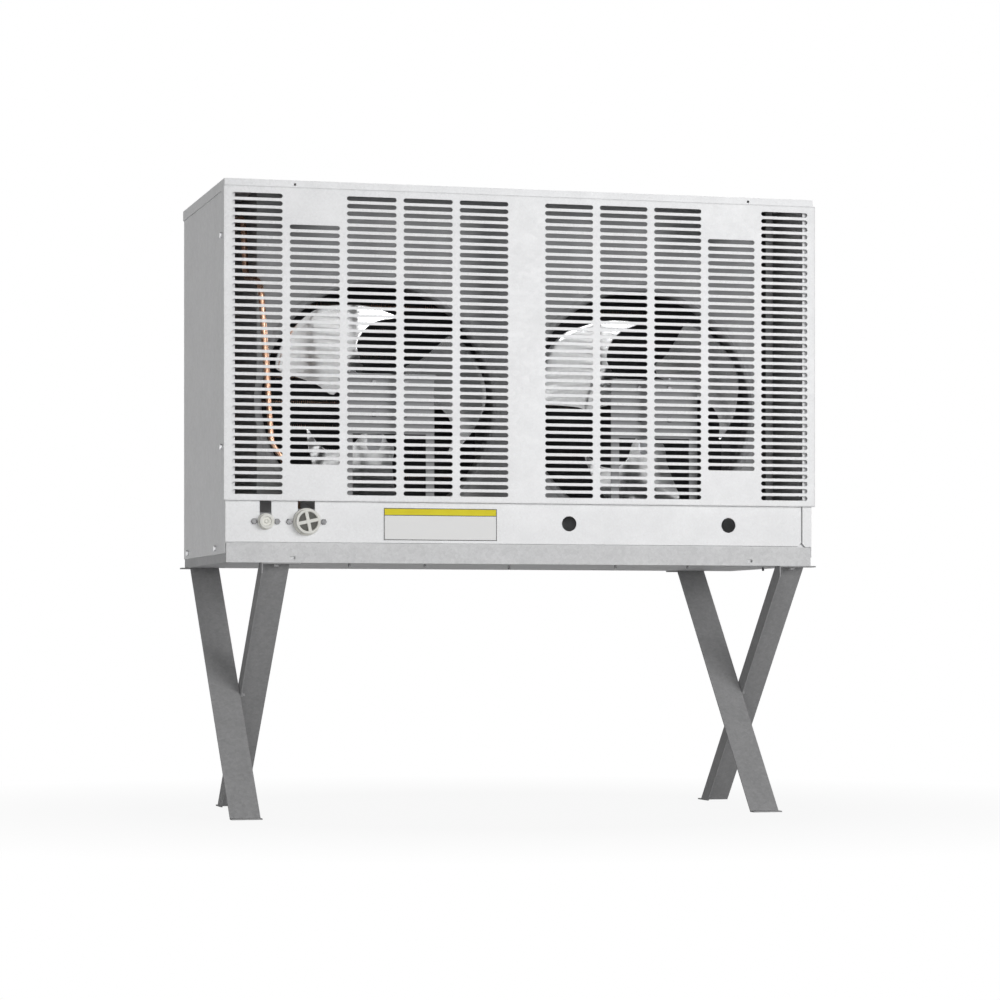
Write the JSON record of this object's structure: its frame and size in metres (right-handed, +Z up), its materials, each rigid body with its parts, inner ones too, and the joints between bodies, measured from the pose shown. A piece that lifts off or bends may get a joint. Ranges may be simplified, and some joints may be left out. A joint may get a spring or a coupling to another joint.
{
  "type": "remote condenser",
  "caption": "Air-cooled remote condenser: louvred sheet-metal cabinet with fans, finned coil and capped couplings, standing on crossed angle legs.",
  "frame": {"origin": "on the ground under the middle of the cabinet", "axes": "+X to the right seen from the louvred front, +Y to the back, +Z up"},
  "size_m": [0.913, 0.4, 0.927],
  "materials": {
    "galvanized": "hot-dip galvanized sheet with fine spangle",
    "leg_steel": "galvanized angle, duller and darker than the cabinet",
    "inner_sheet": "galvanized sheet inside the cabinet",
    "motor_paint": "dark painted motor can",
    "blade_aluminium": "bright pressed aluminium",
    "shaft_steel": "turned and zinc-plated steel",
    "fin_aluminium": "close-pitched aluminium fins",
    "copper": "drawn copper tube, lightly oxidised",
    "brass": "machined brass",
    "zinc_steel": "bright zinc-plated steel",
    "cap_plastic": "ivory moulded plastic",
    "seal_rubber": "black rubber",
    "label_film": "blank coated label with a yellow head strip"
  },
  "bodies": {
    "cabinet": {"base_pan": "galvanized", "side_panel_left": "galvanized", "side_panel_right": "galvanized", "top_cover": "galvanized", "front_louver_panel": "galvanized", "valve_panel": "galvanized", "blank_label": "label_film", "fan_shroud": "inner_sheet", "plenum_baffle": "inner_sheet", "junction_box": "inner_sheet", "motor_bracket_left": "inner_sheet", "fan_motor_left": "motor_paint", "motor_bracket_right": "inner_sheet", "fan_motor_right": "motor_paint", "coil_core": "fin_aluminium", "coil_end_plate_left": "inner_sheet", "coil_end_plate_right": "inner_sheet", "return_bends_left": "copper", "return_bends_right": "copper", "gas_header": "copper", "liquid_header": "copper", "discharge_line": "copper", "liquid_line": "copper", "discharge_coupling": "brass", "discharge_flange": "zinc_steel", "liquid_coupling": "brass", "liquid_flange": "zinc_steel", "leg_front_left": "leg_steel", "leg_rear_left": "leg_steel", "leg_front_right": "leg_steel", "leg_rear_right": "leg_steel", "side_screws": "zinc_steel", "flange_screws": "zinc_steel", "motor_screws": "zinc_steel", "floor_screws": "zinc_steel", "cover_screws": "zinc_steel", "leg_bolts": "zinc_steel", "leg_nuts": "zinc_steel"},
    "fan_left": {"fan_shaft_left": "shaft_steel", "fan_hub_left": "shaft_steel", "fan_blades_left": "blade_aluminium"},
    "fan_right": {"fan_shaft_right": "shaft_steel", "fan_hub_right": "shaft_steel", "fan_blades_right": "blade_aluminium"},
    "discharge_seal": {"discharge_cap_seal": "seal_rubber"},
    "discharge_cap": {"discharge_cap": "cap_plastic"},
    "liquid_seal": {"liquid_cap_seal": "seal_rubber"},
    "liquid_cap": {"liquid_cap": "cap_plastic"}
  },
  "joints": [
    {"name": "fan_left_spin", "type": "hinge", "parent": "cabinet", "child": "fan_left", "pos_m": [-0.204, -0.103, 0.614], "axis": [0, 1, 0], "continuous": true},
    {"name": "fan_right_spin", "type": "hinge", "parent": "cabinet", "child": "fan_right", "pos_m": [0.204, -0.103, 0.614], "axis": [0, 1, 0], "continuous": true},
    {"name": "discharge_cap_travel", "type": "slide", "parent": "cabinet", "child": "discharge_seal", "axis": [0, -1, 0], "range_m": [0, 0.0105]},
    {"name": "discharge_cap_turn", "type": "hinge", "parent": "discharge_seal", "child": "discharge_cap", "pos_m": [-0.3305, -0.192, 0.4315], "axis": [0, -1, 0], "range_deg": [0, 2520]},
    {"name": "liquid_cap_travel", "type": "slide", "parent": "cabinet", "child": "liquid_seal", "axis": [0, -1, 0], "range_m": [0, 0.0105]},
    {"name": "liquid_cap_turn", "type": "hinge", "parent": "liquid_seal", "child": "liquid_cap", "pos_m": [-0.3907, -0.192, 0.4315], "axis": [0, -1, 0], "range_deg": [0, 2520]}
  ],
  "couplings": [
    {"joint": "discharge_cap_turn", "follows": "discharge_cap_travel", "rad_per_m": 4188.8},
    {"joint": "liquid_cap_turn", "follows": "liquid_cap_travel", "rad_per_m": 4188.8}
  ]
}
